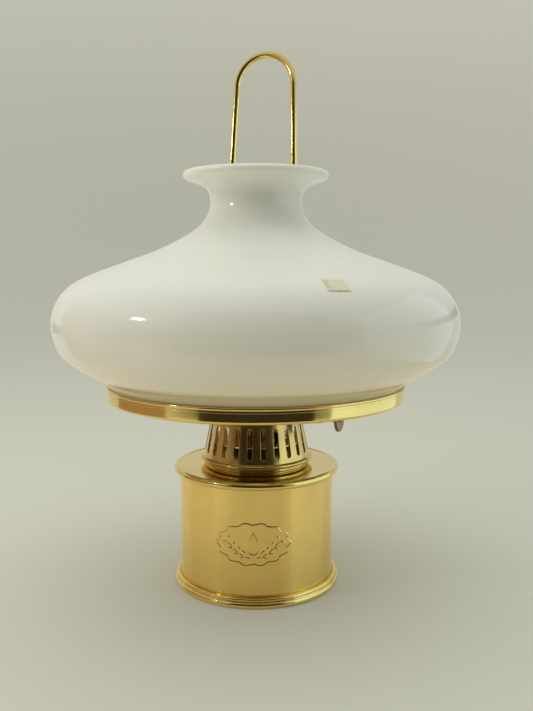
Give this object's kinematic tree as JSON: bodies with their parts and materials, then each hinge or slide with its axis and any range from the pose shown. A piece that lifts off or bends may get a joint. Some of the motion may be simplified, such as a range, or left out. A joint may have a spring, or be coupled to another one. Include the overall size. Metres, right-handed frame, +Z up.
{
  "type": "oil lamp",
  "caption": "Free-standing brass oil lamp: cylindrical font, slotted round-wick burner, opal glass shade on a ring, hanging bail.",
  "frame": {"origin": "centre of the foot, on the surface that the lamp stands on", "axes": "+Z up; -Y is the front as the lamp is seen in use; +X to the right of a viewer in front"},
  "size_m": [0.3198, 0.3198, 0.4267],
  "materials": {
    "brass": "polished, lightly tarnished",
    "burner_brass": "polished, darker with age",
    "dark_brass": "oxidised",
    "steel": "plain",
    "washer": "oiled",
    "cotton": "woven wick",
    "clear_glass": "clear",
    "opal_glass": "opal white, glossy"
  },
  "bodies": {
    "font": {"font_body": "brass", "base_rim": "brass", "base_plate": "brass", "top_plate": "brass", "filler_collar": "brass"},
    "washer": {"collar_washer": "washer"},
    "burner": {"burner_base": "burner_brass", "burner_floor": "burner_brass", "burner_basket": "burner_brass", "air_screen": "burner_brass", "outer_wick_tube": "burner_brass", "inner_wick_tube": "burner_brass", "raiser_bracket": "burner_brass", "shaft_bush": "burner_brass", "gallery": "burner_brass", "carrier_hub": "brass", "shade_arm_1": "brass", "shade_arm_2": "brass", "shade_arm_3": "brass", "shade_arm_4": "brass", "arm_screws": "steel", "arm_rivets": "brass", "shade_ring": "brass", "bail_screws": "steel"},
    "raiser": {"raiser_shaft": "steel", "raiser_pinion": "steel", "raiser_knob": "dark_brass", "knob_nut": "dark_brass"},
    "wick_assembly": {"wick": "cotton", "wick_carrier": "burner_brass", "wick_rack": "burner_brass"},
    "chimney": {"chimney": "clear_glass"},
    "shade": {"glass_shade": "opal_glass"},
    "bail": {"bail": "brass"}
  },
  "joints": [
    {"name": "burner_rise", "type": "slide", "parent": "font", "child": "washer", "axis": [0, 0, 1], "range_m": [0, 0.0061]},
    {"name": "burner_unscrew", "type": "hinge", "parent": "washer", "child": "burner", "pos_m": [0, 0, 0.09], "axis": [0, 0, 1], "range_deg": [0, 720]},
    {"name": "knob_turn", "type": "hinge", "parent": "burner", "child": "raiser", "pos_m": [0.04619, -0.01913, 0.139], "axis": [0.9239, -0.3827, 0], "range_deg": [-85, 140]},
    {"name": "wick_lift", "type": "slide", "parent": "burner", "child": "wick_assembly", "axis": [0, 0, 1], "range_m": [-0.0098, 0.006]},
    {"name": "chimney_lift", "type": "slide", "parent": "burner", "child": "chimney", "axis": [0, 0, 1], "range_m": [0, 0.16]},
    {"name": "shade_lift", "type": "slide", "parent": "burner", "child": "shade", "axis": [0, 0, 1], "range_m": [0, 0.28]},
    {"name": "bail_swing", "type": "hinge", "parent": "burner", "child": "bail", "pos_m": [0, 0, 0.158], "axis": [0.9239, -0.3827, 0], "range_deg": [0, 8.6]}
  ],
  "couplings": [
    {"joint": "burner_rise", "follows": "burner_unscrew", "m_per_rad": 0.00047746},
    {"joint": "wick_lift", "follows": "knob_turn", "m_per_rad": -0.004}
  ]
}
